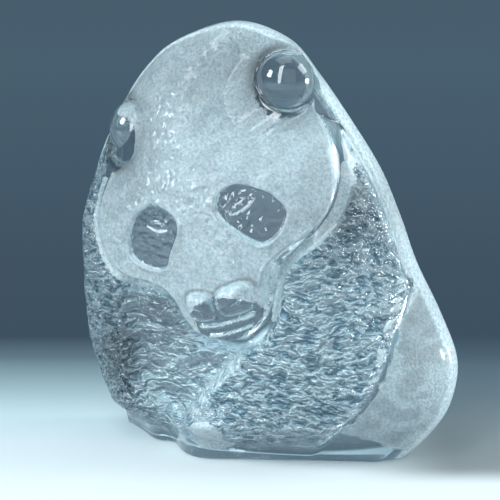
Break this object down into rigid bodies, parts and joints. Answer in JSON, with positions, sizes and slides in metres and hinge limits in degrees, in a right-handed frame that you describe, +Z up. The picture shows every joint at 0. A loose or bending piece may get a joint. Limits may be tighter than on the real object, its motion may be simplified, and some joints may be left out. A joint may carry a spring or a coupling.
{
  "type": "glass panda paperweight",
  "caption": "Solid cast glass paperweight: a curled, seated giant panda in high relief on a thick slab with a rounded rim, standing on a ground flat underside.",
  "frame": {"origin": "middle of the bounding box's underside, in the plane of the ground flat underside", "axes": "+Z up, the panda faces -Y, +X towards the rump, which is at the viewer's right"},
  "size_m": [0.1038, 0.041, 0.1105],
  "materials": {
    "glass": "polished clear glass; head and rump frosted"
  },
  "bodies": {
    "root": {"glass_panda": "glass"}
  },
  "joints": []
}
